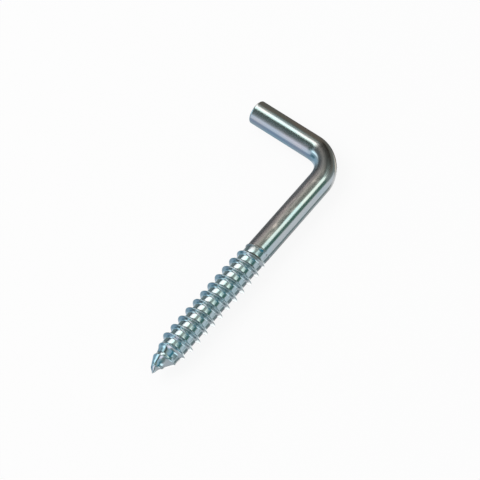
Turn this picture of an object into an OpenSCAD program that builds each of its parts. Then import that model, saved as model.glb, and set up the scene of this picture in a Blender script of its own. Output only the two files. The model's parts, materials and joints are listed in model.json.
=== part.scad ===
// Square-bend screw hook: one length of round steel wire, bent once through a right angle.
// It lies flat. The shank runs along X with its point to -X, and the arm points to +Y.
// The origin is under the middle of the hook, on the surface that it lies on.

/* [Wire] */
// Diameter of the round wire
wire_d = 4.2; // [3:0.1:6]
// Length over all, from the outside of the arm to the tip of the point
hook_l = 50; // [42:0.5:90]
// Length of the arm, from the outside of the shank to the cut end
arm_l = 19.2; // [14:0.1:40]
// Inside radius of the bend
bend_inside_r = 2.9; // [1.5:0.1:5]
// Bevel round the cut end of the arm
end_bevel = 0.25; // [0.1:0.05:0.6]

/* [Thread] */
// Diameter over the crests of the wood thread
thread_d = 5.3; // [4.6:0.1:7]
// Diameter of the core between the crests
core_d = 4; // [2.6:0.1:4.1]
// Distance from one crest to the next
pitch = 1.85; // [1.4:0.05:2.6]
// Length of the thread, with the point
thread_l = 27.2; // [16:0.1:30]
// Length of the point, over which the core tapers
point_l = 4.3; // [3:0.1:8]
// Diameter of the blunt end of the point
tip_d = 0.1; // [0.05:0.05:0.8]
// Distance from the tip at which the crest has grown to its full height
lead_in_l = 6.1; // [3:0.1:9]
// Length over which the thread runs out into the plain shank
run_out_l = 3.6; // [1:0.1:5]
// Width of the flat along the crest
crest_w = 0.14; // [0.05:0.01:0.3]
// Slope of the flanks, measured from square to the axis
flank_angle = 24; // [15:1:30]

/* [Hidden] */
$fn = 96;

wire_r = wire_d / 2;
core_r = core_d / 2;
tip_r = tip_d / 2;
thread_h = (thread_d - core_d) / 2;
// The thread's neck is a little thinner than the wire that it runs into
neck_gap = 0.02;
neck_r = wire_r - neck_gap;

// The wire's centre line turns round a point in the crook, at this distance from both its legs
bend_r = bend_inside_r + wire_r;
shank_l = hook_l - wire_r - bend_r - thread_l;
arm_straight_l = arm_l - wire_r - bend_r;

// The hook lies on its widest radius, and the box round it is centred on the origin
lie_r = max(wire_r, thread_d / 2);
tip_x = -hook_l / 2;
arm_x = hook_l / 2 - wire_r;
shank_y = (lie_r - (arm_l - wire_r)) / 2;

// One pitch of the thread, from the middle of one root band to the next. Each entry is
// [distance from the crest in pitches, share of the thread's height].
crest_half = crest_w / 2 / pitch;
foot_half = crest_half + thread_h * tan(flank_angle) / pitch;
PROFILE = [[-0.5, 0], [-foot_half, 0], [-crest_half, 1], [crest_half, 1], [foot_half, 0]];
profile_n = len(PROFILE);

// Steps round one turn of the thread
turn_steps = 36;
// The crest starts at this height on the point
thread_start = 0.7 * pitch;
// The rows go on for half a turn past the thread, and the neck's ring lies above the last of them
turns = ceil((thread_l - thread_start) / pitch + 0.5);
row_n = turns * profile_n;
neck_end = thread_start + pitch * (turns + 0.75);

// 0 below one height, 1 above another, and an even rise between them
function rise(z, low, high) = min(1, max(0, (z - low) / (high - low)));

// Share of the run-out that lies below a height above the tip
function run_out_at(z) = rise(z, thread_l - run_out_l, thread_l);

// Radius of the core at that height: the point's cone, the root, and the rise into the shank
function core_at(z) =
    tip_r + (core_r - tip_r) * rise(z, 0, point_l) + (neck_r - core_r) * run_out_at(z);

// Height of the crest above the core. It grows on the point and dies away in the run-out.
function crest_at(z) = thread_h * rise(z, thread_start, lead_in_l) * (1 - run_out_at(z));

// The rows of the surface follow the helix, and its steps go round it. The right-hand thread
// rises by one pitch as the angle goes round once.
function step_angle(step) = 360 * (thread_start / pitch + step / turn_steps);

function thread_point(row, step) =
    let (
        entry = PROFILE[row % profile_n],
        turn = floor(row / profile_n) + step / turn_steps,
        z = thread_start + pitch * (turn + entry[0]),
        r = core_at(z) + crest_at(z) * entry[1]
    )
    [r * cos(step_angle(step)), r * sin(step_angle(step)), z];

// Place of such a point in the list. Once round from a row lies the row one pitch higher.
function thread_index(row, step) =
    (row + profile_n * floor(step / turn_steps)) * turn_steps + step % turn_steps;

// A flat ring of points, in the same steps
function ring_points(r, z) =
    [for (step = [0 : turn_steps - 1]) [r * cos(step_angle(step)), r * sin(step_angle(step)), z]];

// Two triangles for the four corners of a patch, from its lower left one round to the right
function patch(a, b, c, d) = [[a, c, b], [a, d, c]];

// The point, the thread and the neck as one closed solid, with the end of its tip at the origin
module threaded_end() {
    last = turn_steps - 1;
    surface = [
        for (row = [0 : row_n + profile_n]) for (step = [0 : last]) thread_point(row, step)
    ];
    tip_i = len(surface);
    neck_i = tip_i + turn_steps;

    bands = [
        for (row = [0 : row_n - 1]) for (step = [0 : last])
            each patch(
                thread_index(row, step), thread_index(row, step + 1),
                thread_index(row + 1, step + 1), thread_index(row + 1, step)
            )
    ];
    // The lowest row stands on the ring round the tip. Its two ends lie one pitch apart, and the
    // last step takes in the rows between them.
    tip_band = [
        for (step = [0 : last - 1])
            each patch(
                tip_i + step, tip_i + step + 1, thread_index(0, step + 1), thread_index(0, step)
            ),
        [tip_i + last, thread_index(0, last), thread_index(profile_n, 0)],
        for (row = [0 : profile_n - 1])
            [tip_i + last, thread_index(row + 1, 0), thread_index(row, 0)],
        [tip_i + last, thread_index(0, 0), tip_i]
    ];
    // The neck's ring stands on the highest row, and the first step takes in the rows between
    neck_band = [
        for (step = [1 : last])
            each patch(
                thread_index(row_n, step), thread_index(row_n, step + 1),
                neck_i + (step + 1) % turn_steps, neck_i + step
            ),
        [neck_i + 1, thread_index(row_n, 1), thread_index(row_n, 0)],
        for (row = [row_n : row_n + profile_n - 1])
            [neck_i + 1, thread_index(row, 0), thread_index(row + 1, 0)],
        [neck_i + 1, thread_index(row_n + profile_n, 0), neck_i]
    ];
    ends = [
        [for (step = [0 : last]) tip_i + step],
        [for (step = [last : -1 : 0]) neck_i + step]
    ];

    polyhedron(
        points = concat(surface, ring_points(tip_r, 0), ring_points(neck_r, neck_end)),
        faces = concat(bands, tip_band, neck_band, ends)
    );
}

// A quarter ring of the wire, from the shank at its start to the arm at its end
module bend() {
    rotate_extrude(angle = 90) translate([bend_r, 0]) circle(r = wire_r);
}

// The straight arm, cut square with a fine bevel. It starts at the bend and rises along Z.
module arm() {
    cylinder(h = arm_straight_l - end_bevel, r = wire_r);
    translate([0, 0, arm_straight_l - end_bevel])
        cylinder(h = end_bevel, r1 = wire_r, r2 = wire_r - end_bevel);
}

module screw_hook() {
    color("lightsteelblue")
    translate([0, 0, lie_r])
    union() {
        translate([tip_x, shank_y, 0]) rotate([0, 90, 0]) threaded_end();
        translate([tip_x + thread_l, shank_y, 0]) rotate([0, 90, 0]) cylinder(h = shank_l, r = wire_r);
        translate([arm_x - bend_r, shank_y + bend_r, 0]) rotate([0, 0, -90]) bend();
        translate([arm_x, shank_y + bend_r, 0]) rotate([-90, 0, 0]) arm();
    }
}

screw_hook();
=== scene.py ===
"""The looks of a square-bend screw hook: bright zinc plate on one bent wire with a wood thread."""

import json
import math

import bpy
from mathutils import Matrix, Vector


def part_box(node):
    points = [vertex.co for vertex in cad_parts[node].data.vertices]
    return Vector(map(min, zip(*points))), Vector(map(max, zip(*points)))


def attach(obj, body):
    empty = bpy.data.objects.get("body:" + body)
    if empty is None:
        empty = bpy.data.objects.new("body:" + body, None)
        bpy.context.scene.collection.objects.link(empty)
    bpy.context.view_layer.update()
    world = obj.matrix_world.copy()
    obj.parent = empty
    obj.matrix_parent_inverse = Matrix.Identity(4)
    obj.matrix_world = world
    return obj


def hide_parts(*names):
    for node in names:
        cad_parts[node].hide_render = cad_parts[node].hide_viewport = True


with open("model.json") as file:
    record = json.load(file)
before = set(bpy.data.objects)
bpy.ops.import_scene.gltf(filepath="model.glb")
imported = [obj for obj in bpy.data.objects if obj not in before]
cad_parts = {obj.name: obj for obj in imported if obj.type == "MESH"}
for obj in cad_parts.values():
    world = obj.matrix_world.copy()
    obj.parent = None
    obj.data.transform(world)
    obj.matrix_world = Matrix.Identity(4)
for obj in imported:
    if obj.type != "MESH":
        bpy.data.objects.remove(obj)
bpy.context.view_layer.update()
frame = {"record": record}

MM = 0.001
WHITE = (1.0, 1.0, 1.0, 1.0)

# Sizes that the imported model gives
mounts = {mount["name"]: mount for mount in frame["record"]["mounts"]}
hook_low, hook_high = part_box("screw_hook")
arm_x, _, lie_height = mounts["arm"]["pos_m"]
shank_y = mounts["wood_thread"]["pos_m"][1]
wire_r = mounts["arm"]["dims"]["r_mm"] * MM
tip_x = hook_low.x
arm_end_y = hook_high.y

# Sizes of the bent wire
bend_r = 5.0 * MM
bend_start = arm_x - bend_r - tip_x
bend_l = bend_r * math.pi / 2
wire_l = bend_start + bend_l + arm_end_y - (shank_y + bend_r)
cut_edge_r = 0.25 * MM
# Shares of the radius by which the wire is thinner in the plane of the bend, thinner still on its
# inside, and wider square to that plane
bend_thinning = 0.095
bend_thinning_inside = 0.019
bend_widening = 0.02

# Sizes of the wood thread
pitch = 1.85 * MM
crest_r = 2.65 * MM
core_r = 2.0 * MM
thread_l = 27.2 * MM
run_out_l = 3.6 * MM
crest_half = 0.05 * MM
foot_half = 0.45 * MM
root_hollow = 0.02 * MM
# Share of a flank's height that the round of its foot takes
foot_round = 0.7

# Sizes of the point. The feet of the flanks are wider on it, and its crest is low up to the
# height where the full crest starts.
tip_r = 0.05 * MM
point_l = 5.0 * MM
point_foot = 0.35 * MM
point_foot_end = 1.5 * MM
lead_start = 4.1 * MM
lead_end = 5.9 * MM
# Share of the full crest on the point, the height at which it is there, and the power of the
# curve of the point's side, where 1 is a cone
point_crest = 0.30
point_crest_start = 0.6 * MM
point_round = 1.7
# How far the middle of the point leans to the side that faces the arm: at the tip, where it leans
# most, and just under the thread
lean_tip, lean_most, lean_thread = -0.08 * MM, 0.25 * MM, -0.07 * MM
# Heights between which it leans most, where it leans back, and where it runs straight again
lean_most_from, lean_most_to = 1.3 * MM, 1.6 * MM
lean_back, lean_over = 3.3 * MM, 4.6 * MM
lean_side = math.radians(113)

# Length of wire over which the thread's finish fades into the plain wire's
fade_l = 3.0 * MM

# Fineness of the mesh
steps_round = 96
rows_per_pitch = 22
row_l = 0.3 * MM
end_rows = 20
# Rows of the helix that lie under the tip and over the thread, in pitches, and how closely the
# rows crowd on the crest
spare_pitches = 2
crowding = 0.7
# The helix closes up on the wire's middle over this length under the tip
closing_l = 0.3 * MM
merge_gap = 0.001 * MM


def set_input(tree, term, place):
    """Joins a number of the tree to a socket, or writes a plain value there."""
    if isinstance(term, Number):
        tree.links.new(term.socket, place)
    else:
        place.default_value = term


def calc(tree, operation, *terms):
    """The result of one Math node."""
    node = tree.nodes.new("ShaderNodeMath")
    node.operation = operation
    for place, term in zip(node.inputs, terms):
        set_input(tree, term, place)
    return Number(tree, node.outputs[0])


class Number:
    """A number in a node tree. The usual signs add the Math nodes that work it out."""

    def __init__(self, tree, socket):
        self.tree = tree
        self.socket = socket

    def __add__(self, other):
        return calc(self.tree, "ADD", self, other)

    def __radd__(self, other):
        return calc(self.tree, "ADD", other, self)

    def __sub__(self, other):
        return calc(self.tree, "SUBTRACT", self, other)

    def __rsub__(self, other):
        return calc(self.tree, "SUBTRACT", other, self)

    def __mul__(self, other):
        return calc(self.tree, "MULTIPLY", self, other)

    def __rmul__(self, other):
        return calc(self.tree, "MULTIPLY", other, self)

    def __truediv__(self, other):
        return calc(self.tree, "DIVIDE", self, other)

    def __neg__(self):
        return calc(self.tree, "MULTIPLY", self, -1.0)

    def sin(self):
        return calc(self.tree, "SINE", self)

    def cos(self):
        return calc(self.tree, "COSINE", self)

    def absolute(self):
        return calc(self.tree, "ABSOLUTE", self)

    def power(self, other):
        return calc(self.tree, "POWER", self, other)

    def to_nearest_whole(self):
        return calc(self.tree, "ROUND", self)

    def at_least(self, other):
        return calc(self.tree, "MAXIMUM", self, other)

    def at_most(self, other):
        return calc(self.tree, "MINIMUM", self, other)

    def between(self, low, high):
        return self.at_least(low).at_most(high)

    def rise(self, low, high):
        """0 below one value, 1 above another, and an even rise between them."""
        return ((self - low) / (high - low)).between(0.0, 1.0)

    def soft_rise(self, low, high):
        """The same with rounded ends."""
        share = self.rise(low, high)
        return share * share * (3.0 - 2.0 * share)


def vector_of(tree, x, y, z):
    """The socket of a vector made of three numbers."""
    node = tree.nodes.new("ShaderNodeCombineXYZ")
    for place, term in zip(node.inputs, (x, y, z)):
        set_input(tree, term, place)
    return node.outputs[0]


def parts_of(tree, socket):
    """The three numbers in a vector."""
    node = tree.nodes.new("ShaderNodeSeparateXYZ")
    tree.links.new(socket, node.inputs[0])
    return [Number(tree, output) for output in node.outputs]


# The attribute that keeps each point's place on the wire as it was before the bend
STRAIGHT_PLACE = "straight_wire"

# Inputs of the tree that makes the hook
HOOK_SIZES = {
    "Wire Radius": wire_r,
    "Wire Length": wire_l,
    "Tip X": tip_x,
    "Shank Y": shank_y,
    "Lie Height": lie_height,
    "Bend Radius": bend_r,
    "Bend Start": bend_start,
    "Cut Edge Radius": cut_edge_r,
    "Pitch": pitch,
    "Crest Radius": crest_r,
    "Core Radius": core_r,
    "Tip Radius": tip_r,
    "Thread Length": thread_l,
    "Point Length": point_l,
    "Point Crest": point_crest,
    "Lead Start": lead_start,
    "Lead End": lead_end,
    "Run Out Length": run_out_l,
    "Crest Half Width": crest_half,
    "Foot Half Width": foot_half,
    "Root Hollow": root_hollow,
    "Plain Waviness": 0.004 * MM,
    "Thread Waviness": 0.012 * MM,
}


def surface_waves(tree, size, along, radius, angle):
    """Slow waves of a few thousandths of a millimetre, which bend what the bright plate mirrors."""
    noise = tree.nodes.new("ShaderNodeTexNoise")
    noise.inputs["Scale"].default_value = 700.0
    noise.inputs["Detail"].default_value = 1.0
    place = vector_of(tree, radius * angle.cos(), radius * angle.sin(), along * 0.6)
    tree.links.new(place, noise.inputs["Vector"])
    on_thread = 1.0 - along.soft_rise(size["Thread Length"] - fade_l, size["Thread Length"])
    depth = size["Plain Waviness"] + (size["Thread Waviness"] - size["Plain Waviness"]) * on_thread
    return (Number(tree, noise.outputs[0]) - 0.5) * 2.0 * depth


def point_lean(along):
    """How far the middle of the wire leans to one side. It does so on the point alone."""
    lean = lean_tip + (lean_most - lean_tip) * along.soft_rise(0.0, lean_most_from)
    lean = lean + (lean_thread - lean_most) * along.soft_rise(lean_most_to, lean_back)
    return lean - lean_thread * along.soft_rise(lean_back, lean_over)


def bent_wire_point(tree, size, along, radius, angle):
    """The place of a surface point, from its length along the wire, its distance from the middle
    of the wire and its angle round it. The wire is a little flattened in the bend."""
    turn = ((along - size["Bend Start"]) / size["Bend Radius"]).between(0.0, math.pi / 2)
    arm = (along - size["Bend Start"] - size["Bend Radius"] * (math.pi / 2)).at_least(0.0)
    middle_x = size["Tip X"] + along.at_most(size["Bend Start"]) + size["Bend Radius"] * turn.sin()
    middle_y = size["Shank Y"] + size["Bend Radius"] * (1.0 - turn.cos()) + arm
    inward = angle.sin()
    flattened = (2.0 * turn).sin()
    flattened = flattened * flattened
    in_plane = 1.0 - flattened * (bend_thinning + bend_thinning_inside * inward)
    lean = point_lean(along)
    outward_l = -(radius * inward) * in_plane - lean * math.sin(lean_side)
    upward_l = -(radius * angle.cos()) * (1.0 + bend_widening * flattened)
    upward_l = upward_l - lean * math.cos(lean_side)
    return vector_of(
        tree,
        middle_x + outward_l * turn.sin(),
        middle_y - outward_l * turn.cos(),
        size["Lie Height"] + upward_l,
    )


def skin(tree, rows, steps, shape, size):
    """A grid that is laid round the wire. shape gives the length along the wire, the radius and
    the angle of each point from its share of the rows and of the steps round."""
    grid = tree.nodes.new("GeometryNodeMeshGrid")
    grid.inputs["Size X"].default_value = 1.0
    grid.inputs["Size Y"].default_value = 1.0
    grid.inputs["Vertices X"].default_value = rows + 1
    grid.inputs["Vertices Y"].default_value = steps + 1
    flat = parts_of(tree, tree.nodes.new("GeometryNodeInputPosition").outputs[0])
    along, radius, angle = shape(flat[0] + 0.5, flat[1] + 0.5)
    wavy_radius = radius + surface_waves(tree, size, along, radius, angle) * radius / wire_r
    keep = tree.nodes.new("GeometryNodeStoreNamedAttribute")
    keep.data_type = "FLOAT_VECTOR"
    keep.domain = "POINT"
    keep.inputs["Name"].default_value = STRAIGHT_PLACE
    straight_point = vector_of(tree, radius * angle.cos(), radius * angle.sin(), along)
    tree.links.new(grid.outputs["Mesh"], keep.inputs["Geometry"])
    tree.links.new(straight_point, keep.inputs["Value"])
    lay = tree.nodes.new("GeometryNodeSetPosition")
    tree.links.new(keep.outputs["Geometry"], lay.inputs["Geometry"])
    place = bent_wire_point(tree, size, along, wavy_radius, angle)
    tree.links.new(place, lay.inputs["Position"])
    return lay.outputs["Geometry"]


def thread_shape(tree, size, pitches):
    """The point and the thread. The rows follow the helix and lie closest on the crest. Those
    under the tip close up on the middle of the wire, and those over the thread on its last ring."""

    def shape(row_share, round_share):
        even = row_share * pitches - spare_pitches
        turns = even - (even * (2.0 * math.pi)).sin() * (crowding / (2.0 * math.pi))
        helix_l = size["Pitch"] * (turns + round_share)
        along = helix_l.between(0.0, size["Thread Length"])
        from_crest = (turns - turns.to_nearest_whole()).absolute() * size["Pitch"]
        on_point = 1.0 - along.rise(point_foot_end, lead_end)
        foot = size["Foot Half Width"] + point_foot * on_point
        climb = 1.0 - from_crest.rise(size["Crest Half Width"], foot)
        rounded = climb.at_most(foot_round)
        bump = rounded * rounded / (2.0 * foot_round) + (climb - foot_round).at_least(0.0)
        bump = bump / (1.0 - 0.5 * foot_round)
        hollow = 1.0 - from_crest / (size["Pitch"] * 0.5)
        hollow = hollow * hollow * size["Root Hollow"]
        run_out = along.rise(size["Thread Length"] - size["Run Out Length"], size["Thread Length"])
        started = along.soft_rise(0.0, point_crest_start)
        full = along.soft_rise(size["Lead Start"], size["Lead End"])
        lead_in = started * (size["Point Crest"] + (1.0 - size["Point Crest"]) * full)
        widening = 1.0 - (1.0 - along.rise(0.0, size["Point Length"])).power(point_round)
        core = size["Tip Radius"] + (size["Core Radius"] - size["Tip Radius"]) * widening
        core = core + (size["Wire Radius"] - size["Core Radius"]) * run_out
        height = size["Crest Radius"] - size["Core Radius"] - size["Root Hollow"]
        crest = (height * bump + hollow) * lead_in * (1.0 - run_out)
        closing = helix_l.rise(-closing_l, 0.0)
        return along, (core + crest) * closing, round_share * (2.0 * math.pi)

    return shape


def plain_shape(size):
    """The plain wire, from the thread to the round of its cut edge."""

    def shape(row_share, round_share):
        end = size["Wire Length"] - size["Cut Edge Radius"]
        along = size["Thread Length"] + (end - size["Thread Length"]) * row_share
        return along, size["Wire Radius"] + 0.0 * row_share, round_share * (2.0 * math.pi)

    return shape


def cut_end_shape(size):
    """The round edge of the cut end, and the end itself."""

    def shape(row_share, round_share):
        turn = row_share.rise(0.0, 0.5) * (math.pi / 2)
        inward = 1.0 - row_share.rise(0.5, 1.0)
        edge = size["Cut Edge Radius"]
        along = size["Wire Length"] - edge + edge * turn.sin()
        radius = (size["Wire Radius"] - edge + edge * turn.cos()) * inward
        return along, radius, round_share * (2.0 * math.pi)

    return shape


def hook_tree():
    """The tree that lays the hook's surface round its bent middle line."""
    tree = bpy.data.node_groups.new("bent_wire_with_thread", "GeometryNodeTree")
    sockets = tree.interface
    sockets.new_socket("Geometry", in_out="INPUT", socket_type="NodeSocketGeometry")
    sockets.new_socket("Geometry", in_out="OUTPUT", socket_type="NodeSocketGeometry")
    for name in HOOK_SIZES:
        sockets.new_socket(name, in_out="INPUT", socket_type="NodeSocketFloat")
    sockets.new_socket("Material", in_out="INPUT", socket_type="NodeSocketMaterial")
    given = tree.nodes.new("NodeGroupInput")
    size = {name: Number(tree, given.outputs[name]) for name in HOOK_SIZES}

    pitches = math.ceil(thread_l / pitch) + 2 * spare_pitches
    plain_rows = round((wire_l - thread_l) / row_l)
    skins = [
        skin(tree, pitches * rows_per_pitch, steps_round, thread_shape(tree, size, pitches), size),
        skin(tree, plain_rows, steps_round, plain_shape(size), size),
        skin(tree, end_rows, steps_round, cut_end_shape(size), size),
    ]
    join = tree.nodes.new("GeometryNodeJoinGeometry")
    for surface in skins:
        tree.links.new(surface, join.inputs[0])
    merge = tree.nodes.new("GeometryNodeMergeByDistance")
    merge.inputs["Distance"].default_value = merge_gap
    # The grids face the wire's middle until they are flipped
    flip = tree.nodes.new("GeometryNodeFlipFaces")
    smooth = tree.nodes.new("GeometryNodeSetShadeSmooth")
    realize = tree.nodes.new("GeometryNodeRealizeInstances")
    plate = tree.nodes.new("GeometryNodeSetMaterial")
    tree.links.new(given.outputs["Material"], plate.inputs["Material"])
    out = tree.nodes.new("NodeGroupOutput")
    chain = [join, merge, flip, smooth, realize, plate, out]
    for before, after in zip(chain, chain[1:]):
        tree.links.new(before.outputs[0], after.inputs[0])
    return tree


def make_hook(material):
    """The hook as a plain mesh."""
    start = bpy.data.objects.new("hook_wire_build", bpy.data.meshes.new("hook_wire_build"))
    bpy.context.scene.collection.objects.link(start)
    build = start.modifiers.new("hook_wire", "NODES")
    build.node_group = hook_tree()
    values = dict(HOOK_SIZES, Material=material)
    for item in build.node_group.interface.items_tree:
        if item.in_out == "INPUT" and item.name in values:
            build[item.identifier] = values[item.name]
    graph = bpy.context.evaluated_depsgraph_get()
    mesh = bpy.data.meshes.new_from_object(start.evaluated_get(graph), depsgraph=graph)
    bpy.data.objects.remove(start)
    mesh.name = "screw_hook_wire"
    hook = bpy.data.objects.new("screw_hook_wire", mesh)
    bpy.context.scene.collection.objects.link(hook)
    return hook


def new_material(name):
    """An empty node material and its output."""
    material = bpy.data.materials.new(name)
    material.use_nodes = True
    tree = material.node_tree
    tree.nodes.clear()
    output = tree.nodes.new("ShaderNodeOutputMaterial")
    return material, tree, output


def straight_wire(tree):
    """The place of a point on the straightened wire, with the wire along its Z."""
    kept = tree.nodes.new("ShaderNodeAttribute")
    kept.attribute_name = STRAIGHT_PLACE
    return kept.outputs["Vector"]


def wire_noise(tree, wire, across, along, detail=2.0):
    """Noise on the straightened wire, with its own fineness across and along it."""
    stretch = tree.nodes.new("ShaderNodeMapping")
    stretch.inputs["Scale"].default_value = (across, across, along)
    tree.links.new(wire, stretch.inputs["Vector"])
    noise = tree.nodes.new("ShaderNodeTexNoise")
    noise.inputs["Scale"].default_value = 1.0
    noise.inputs["Detail"].default_value = detail
    tree.links.new(stretch.outputs["Vector"], noise.inputs["Vector"])
    return Number(tree, noise.outputs[0])


def mix_colours(tree, share, first, second):
    """One colour laid over another by a share."""
    mix = tree.nodes.new("ShaderNodeMix")
    mix.data_type = "RGBA"
    set_input(tree, share, mix.inputs["Factor"])
    for place, colour in ((mix.inputs["A"], first), (mix.inputs["B"], second)):
        if isinstance(colour, tuple):
            place.default_value = colour
        else:
            tree.links.new(colour, place)
    return mix.outputs["Result"]


# Tints of the zinc plate
STEEL_BLUE = (0.66, 0.73, 0.76, 1.0)
WARM_GREY = (0.77, 0.74, 0.73, 1.0)
DRAWN_LINE = (0.55, 0.56, 0.56, 1.0)
THREAD_BLUE = (0.56, 0.70, 0.73, 1.0)
# The dull band: its darker ground, its light blotches, the painted shade on its far side and the
# painted shade on its part in the bend
DULL_BAND_GROUND = (0.38, 0.34, 0.31, 1.0)
DULL_BAND_PALE_BLOTCH = (0.85, 0.71, 0.65, 1.0)
PAINTED_SHADE_FAR_SIDE = (0.22, 0.19, 0.20, 1.0)
PAINTED_SHADE_IN_BEND = (0.14, 0.125, 0.12, 1.0)

# Angles round the wire of the band's middle on the shank and in the bend, and of its far side, which
# painted shade darkens
shank_band_angle, bend_band_angle, far_side_angle = 155, 180, 113
# Lengths along the wire between which the band starts and ends, narrows, and darkens with painted
# shade
band_start, band_end = (25.3 * MM, 27.3 * MM), (49.0 * MM, 50.2 * MM)
band_narrows, band_darkens = (43.5 * MM, 47.0 * MM), (41.0 * MM, 47.0 * MM)


def turned_to(place, angle):
    """1 along the line on the wire that lies at this angle, 0 a quarter turn from it."""
    angle = math.radians(angle)
    return (place[0] * math.cos(angle) + place[1] * math.sin(angle)) / wire_r


def dull_band(place, ragged):
    """1 on the dull band along the top of the shank and the bend, which is rougher and darker than
    the rest of the plate. A noise makes its edges ragged."""
    along = place[2]
    ragged = 0.10 * (ragged - 0.5)
    on_shank = (turned_to(place, shank_band_angle) + ragged).soft_rise(0.70, 0.79)
    on_bend = (turned_to(place, bend_band_angle) + ragged + 0.12).soft_rise(0.92, 0.98)
    narrow = along.soft_rise(*band_narrows)
    band = on_shank * (1.0 - narrow) + on_bend * narrow
    return band * along.soft_rise(*band_start) * (1.0 - along.soft_rise(*band_end))


def dull_band_colour_and_shade(tree, place, blotches):
    """The colour of the dull band. It is blotched where it faces up, and painted shade darkens its
    far side and its part in the bend."""
    colour = mix_colours(tree, blotches.soft_rise(0.52, 0.68), DULL_BAND_GROUND, DULL_BAND_PALE_BLOTCH)
    # Painted shade: the band's far side is darkened
    far = turned_to(place, far_side_angle).soft_rise(0.30, 0.80)
    colour = mix_colours(tree, far * 0.85, colour, PAINTED_SHADE_FAR_SIDE)
    # Painted shade: the band is darkened in the bend
    return mix_colours(tree, place[2].soft_rise(*band_darkens), colour, PAINTED_SHADE_IN_BEND)


def zinc_plate():
    """Bright zinc with a faint blue passivate: fine drawing lines, soft spots, tints and a dull
    band, with painted shade on its far side and in the bend."""
    material, tree, output = new_material("zinc_plate")
    plate = tree.nodes.new("ShaderNodeBsdfPrincipled")
    plate.inputs["Metallic"].default_value = 1.0
    tree.links.new(plate.outputs["BSDF"], output.inputs["Surface"])

    wire = straight_wire(tree)
    place = parts_of(tree, wire)
    lines = wire_noise(tree, wire, 5200.0, 120.0)
    spots = wire_noise(tree, wire, 900.0, 420.0)
    tint = wire_noise(tree, wire, 420.0, 150.0)
    streaks = wire_noise(tree, wire, 3400.0, 260.0, 3.0)
    blotches = wire_noise(tree, wire, 1300.0, 420.0, 1.0)
    on_thread = 1.0 - place[2].soft_rise(thread_l - fade_l, thread_l)
    dull_share = dull_band(place, lines)

    colour = mix_colours(tree, tint.soft_rise(0.42, 0.62), STEEL_BLUE, WARM_GREY)
    colour = mix_colours(tree, lines.soft_rise(0.55, 0.75) * 0.35, colour, DRAWN_LINE)
    colour = mix_colours(tree, on_thread * 0.5, colour, THREAD_BLUE)
    # The dull band, rougher and darker, with painted shade on its far side and in the bend
    colour = mix_colours(tree, dull_share * 0.9, colour, dull_band_colour_and_shade(tree, place, blotches))
    tree.links.new(colour, plate.inputs["Base Color"])

    roughness = 0.11 + 0.06 * spots + 0.05 * lines
    roughness = roughness + dull_share * (0.28 + 0.35 * (streaks - 0.5))
    set_input(tree, roughness, plate.inputs["Roughness"])

    bump = tree.nodes.new("ShaderNodeBump")
    bump.inputs["Strength"].default_value = 0.35
    bump.inputs["Distance"].default_value = 0.004 * MM
    set_input(tree, lines + 0.4 * spots + dull_share * streaks * 3.0, bump.inputs["Height"])
    tree.links.new(bump.outputs["Normal"], plate.inputs["Normal"])
    return material


def seen_directly(tree):
    """1 for rays from the camera, from metal and through glass, and 0 for the rest."""
    path = tree.nodes.new("ShaderNodeLightPath")
    rays = ("Is Camera Ray", "Is Glossy Ray", "Is Transmission Ray")
    camera, glossy, through = [Number(tree, path.outputs[name]) for name in rays]
    return (camera + glossy + through).at_most(1.0)


# Strength of the world on the object. Seen directly it is 1, which is white.
room_light = 0.55
# Share of its white that the floor shows whatever falls on it. The rest keeps the shadow.
floor_glow = 0.9
floor_size = 6.0


def white_world():
    """White behind the object, and plain soft light on it."""
    world = bpy.data.worlds.new("white_room")
    bpy.context.scene.world = world
    world.use_nodes = True
    tree = world.node_tree
    background = tree.nodes["Background"]
    background.inputs["Color"].default_value = WHITE
    strength = room_light + (1.0 - room_light) * seen_directly(tree)
    set_input(tree, strength, background.inputs["Strength"])


def square_sheet(name, size, material):
    """A square in its own XY plane, facing +Z."""
    half = size / 2
    corners = [(-half, -half, 0), (half, -half, 0), (half, half, 0), (-half, half, 0)]
    mesh = bpy.data.meshes.new(name)
    mesh.from_pydata(corners, [], [(0, 1, 2, 3)])
    mesh.materials.append(material)
    sheet = bpy.data.objects.new(name, mesh)
    bpy.context.scene.collection.objects.link(sheet)
    return sheet


def white_floor():
    """A pale floor that looks white and keeps a faint shadow."""
    material, tree, output = new_material("pale_floor")
    paper = tree.nodes.new("ShaderNodeBsdfDiffuse")
    paper.inputs["Color"].default_value = (0.86, 0.86, 0.86, 1.0)
    glow = tree.nodes.new("ShaderNodeEmission")
    glow.inputs["Color"].default_value = WHITE
    glow.inputs["Strength"].default_value = 1.0
    mix = tree.nodes.new("ShaderNodeMixShader")
    set_input(tree, seen_directly(tree) * floor_glow, mix.inputs["Fac"])
    tree.links.new(paper.outputs[0], mix.inputs[1])
    tree.links.new(glow.outputs[0], mix.inputs[2])
    tree.links.new(mix.outputs[0], output.inputs["Surface"])
    floor = square_sheet("floor", floor_size, material)
    floor.visible_glossy = False


def direction(azimuth, elevation):
    """A unit vector. Azimuth 0 is +X and 90 is +Y, in degrees."""
    a, e = math.radians(azimuth), math.radians(elevation)
    return Vector((math.cos(a) * math.cos(e), math.sin(a) * math.cos(e), math.sin(e)))


def only_in_reflections(obj):
    """The metal mirrors it, and nothing else sees it or is lit by it."""
    obj.visible_camera = False
    obj.visible_diffuse = False
    obj.visible_shadow = False
    obj.visible_transmission = False
    obj.visible_volume_scatter = False


tent_r = 2.0

# The tent's cloth overhead, at the sides and underneath
CLOTH_OVERHEAD = (0.34, 0.41, 0.38, 1.0)
CLOTH_SIDES = (0.18, 0.23, 0.23, 1.0)
CLOTH_BELOW = (0.32, 0.29, 0.31, 1.0)

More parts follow.
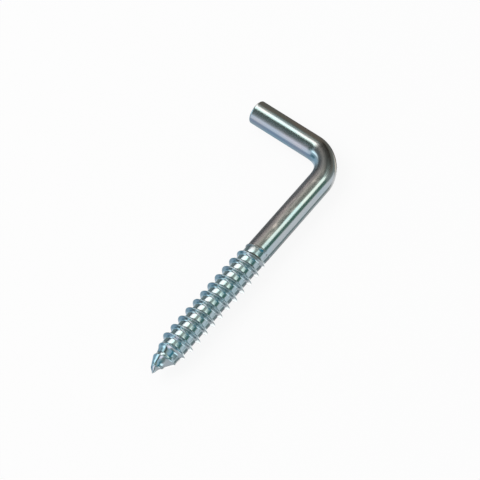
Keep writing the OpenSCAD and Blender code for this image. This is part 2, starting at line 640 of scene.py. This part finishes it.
# Panels on the tent, each over those before it: azimuth, elevation, width, height and turn in
# degrees, softness of the edge as a share of the size, and colour
PANELS = [
    ("white floor left", 132, -74, 33, 43, -12, 0.36, (1.42, 1.37, 1.34)),
    ("white floor beyond", 44, -46, 35, 49, -4, 0.24, (1.41, 1.31, 1.31)),
    ("pale side", 219, -24, 90, 75, 6, 0.32, (0.51, 0.52, 0.55)),
    ("dark wall right", 11, 11, 94, 60, -34, 0.41, (0.13, 0.12, 0.10)),
    ("dark wall behind", 73, 30, 34, 46, 3, 0.34, (0.09, 0.12, 0.14)),
    ("teal shade left", 119, -17, 64, 52, 2, 0.32, (0.29, 0.44, 0.55)),
    ("slate under left", 153, -30, 26, 44, 0, 0.30, (0.24, 0.32, 0.44)),
    ("dark teal left", 132, -12, 30, 24, 0, 0.40, (0.09, 0.19, 0.24)),
    ("pale light left", 157, 2, 27, 33, 9, 0.37, (0.56, 0.64, 0.75)),
    ("white wall left", 170, 25, 23, 67, 5, 0.37, (1.12, 1.00, 1.12)),
    ("bright patch left", 124, 30, 37, 32, 0, 0.42, (1.00, 1.36, 1.52)),
    ("dark strip upper left", 103, 65, 94, 24, -28, 0.30, (0.08, 0.10, 0.09)),
    ("warm light", 58, 41, 25, 41, -8, 0.22, (1.60, 1.56, 1.52)),
    ("light strip over the arm", 70, 65, 31, 12, -18, 0.21, (1.36, 1.60, 1.50)),
    ("light strip over the shank", -46, 56, 11, 25, -22, 0.20, (1.25, 1.48, 1.36)),
    ("green shade in front", -65, 32, 14, 24, -20, 0.30, (0.06, 0.145, 0.115)),
    ("low light in front", -61, -5, 62, 26, -45, 0.18, (0.58, 0.66, 0.71)),
    ("white floor below", -110, -80, 32, 20, 0, 0.30, (1.35, 1.30, 1.30)),
    ("low light under the shank", -66, -22, 40, 14, 0, 0.30, (0.60, 0.66, 0.70)),
    ("low light beyond the bend", -30, -43, 28, 30, 0, 0.35, (0.66, 0.70, 0.72)),
    ("low light right", -11, -32, 27, 17, -16, 0.39, (0.71, 0.69, 0.61)),
    ("dark under right", 27, -41, 52, 30, -4, 0.30, (0.13, 0.11, 0.10)),
    ("dark under left", 94, -56, 67, 33, 3, 0.26, (0.28, 0.39, 0.47)),
    ("pale under left", 80, -50, 36, 22, 0, 0.40, (0.50, 0.60, 0.68)),
    ("floor light right", 12, -60, 30, 18, 0, 0.35, (1.10, 1.10, 1.10)),
    ("light behind left", 250, 12, 24, 44, 5, 0.26, (1.07, 1.33, 1.42)),
    ("dark behind left", 252, 54, 53, 39, 11, 0.36, (0.03, 0.18, 0.24)),
    ("blue overhead", 204, 66, 51, 24, 12, 0.32, (0.34, 0.50, 0.60)),
]


def panel_mask(toward, azimuth, elevation, width, height, turn, softness):
    """1 inside a panel as seen from the object, and 0 outside."""
    centre = direction(azimuth, elevation)
    across = direction(azimuth + 90, 0)
    across = Matrix.Rotation(math.radians(turn), 3, centre) @ across
    upright = centre.cross(across)

    def along(axis):
        return toward[0] * axis.x + toward[1] * axis.y + toward[2] * axis.z

    ahead = along(centre)
    mask = ahead.soft_rise(0.05, 0.15)
    for axis, degrees in ((across, width), (upright, height)):
        half = math.tan(math.radians(degrees / 2))
        off = along(axis).absolute() / ahead.at_least(0.05)
        mask = mask * (1.0 - off.soft_rise(half * (1 - softness), half * (1 + softness)))
    return mask


def tent_material():
    """Grey cloth with soft panels on it, light ones and dark ones."""
    material, tree, output = new_material("studio_tent")
    glow = tree.nodes.new("ShaderNodeEmission")
    tree.links.new(glow.outputs[0], output.inputs["Surface"])
    place = tree.nodes.new("ShaderNodeTexCoord").outputs["Object"]
    toward = [part / tent_r for part in parts_of(tree, place)]
    height = toward[2]
    colour = mix_colours(tree, height.soft_rise(0.45, 0.8), CLOTH_SIDES, CLOTH_OVERHEAD)
    colour = mix_colours(tree, (-height).soft_rise(0.82, 0.93), colour, CLOTH_BELOW)
    for name, azimuth, elevation, wide, high, turn, softness, tone in PANELS:
        mask = panel_mask(toward, azimuth, elevation, wide, high, turn, softness)
        colour = mix_colours(tree, mask, colour, tone + (1.0,))
    tree.links.new(colour, glow.inputs["Color"])
    return material


def studio_tent():
    """A ball tent round the object, which only the metal mirrors."""
    rings, steps = 48, 96
    points = [(0.0, 0.0, tent_r)]
    for ring in range(1, rings):
        elevation = 90 - 180 * ring / rings
        points += [tuple(tent_r * direction(360 * step / steps, elevation)) for step in range(steps)]
    points.append((0.0, 0.0, -tent_r))
    last = len(points) - 1
    faces = []
    for step in range(steps):
        after = (step + 1) % steps
        faces.append((0, 1 + after, 1 + step))
        faces.append((last, last - steps + step, last - steps + after))
        for ring in range(rings - 2):
            high, low = 1 + ring * steps, 1 + (ring + 1) * steps
            faces.append((high + step, high + after, low + after, low + step))
    mesh = bpy.data.meshes.new("studio_tent")
    mesh.from_pydata(points, [], faces)
    mesh.materials.append(tent_material())
    tent = bpy.data.objects.new("studio_tent", mesh)
    bpy.context.scene.collection.objects.link(tent)
    only_in_reflections(tent)


def soft_lamp(name, azimuth, elevation, distance, size, watts):
    """A square area lamp that looks at the object and isn't mirrored by it."""
    light = bpy.data.lights.new(name, "AREA")
    light.shape = "SQUARE"
    light.size = size
    light.energy = watts
    lamp = bpy.data.objects.new(name, light)
    lamp.location = distance * direction(azimuth, elevation)
    lamp.rotation_euler = lamp.location.to_track_quat("Z", "Y").to_euler()
    lamp.visible_glossy = False
    bpy.context.scene.collection.objects.link(lamp)


# The photo's camera, measured from the hook's two straight legs
camera_azimuth, camera_elevation, camera_roll = -43.39, 59.86, -9.07
camera_place = (-0.10980, -0.12158, 0.28269)


def photo_camera():
    """The camera at the photo's angle."""
    camera = bpy.data.objects.new("camera", bpy.data.cameras.new("camera"))
    camera.data.sensor_width = 36.0
    camera.data.lens = 150.0
    camera.data.clip_start = 0.01
    camera.data.clip_end = 20.0
    turned = Matrix.Rotation(math.radians(camera_azimuth), 4, "Z")
    tipped = Matrix.Rotation(math.radians(90 - camera_elevation), 4, "X")
    rolled = Matrix.Rotation(math.radians(camera_roll), 4, "Z")
    camera.matrix_world = Matrix.Translation(camera_place) @ turned @ tipped @ rolled
    bpy.context.scene.collection.objects.link(camera)
    bpy.context.scene.camera = camera


bpy.context.scene.view_settings.view_transform = "Standard"

hook = make_hook(zinc_plate())
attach(hook, "root")
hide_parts("screw_hook")

white_world()
white_floor()
studio_tent()
soft_lamp("key_lamp", azimuth=120, elevation=55, distance=0.7, size=0.5, watts=2.6)
photo_camera()
